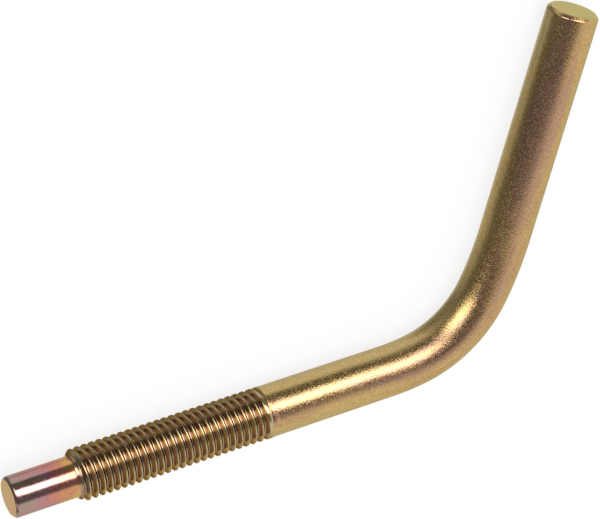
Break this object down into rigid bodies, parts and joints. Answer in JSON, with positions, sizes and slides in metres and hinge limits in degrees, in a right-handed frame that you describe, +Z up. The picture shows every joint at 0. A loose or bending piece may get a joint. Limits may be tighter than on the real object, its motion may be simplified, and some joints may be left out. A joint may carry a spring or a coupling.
{
  "type": "bent clamp bolt",
  "caption": "Bent-handle clamping bolt: a round steel bar with a dog point, a coarse metric thread and a plain shank that bends into a handle.",
  "frame": {"origin": "centre of the dog point's tip, on the thread's axis", "axes": "+X along the thread's axis from the tip to the bend, +Y the side that the handle bends to, +Z up: the bolt lies on its side with its bend level"},
  "size_m": [0.1472, 0.0861, 0.012],
  "materials": {
    "plated_bar": "yellow-passivated zinc plating, satin"
  },
  "bodies": {
    "root": {"bent_bolt": "plated_bar"}
  },
  "joints": []
}
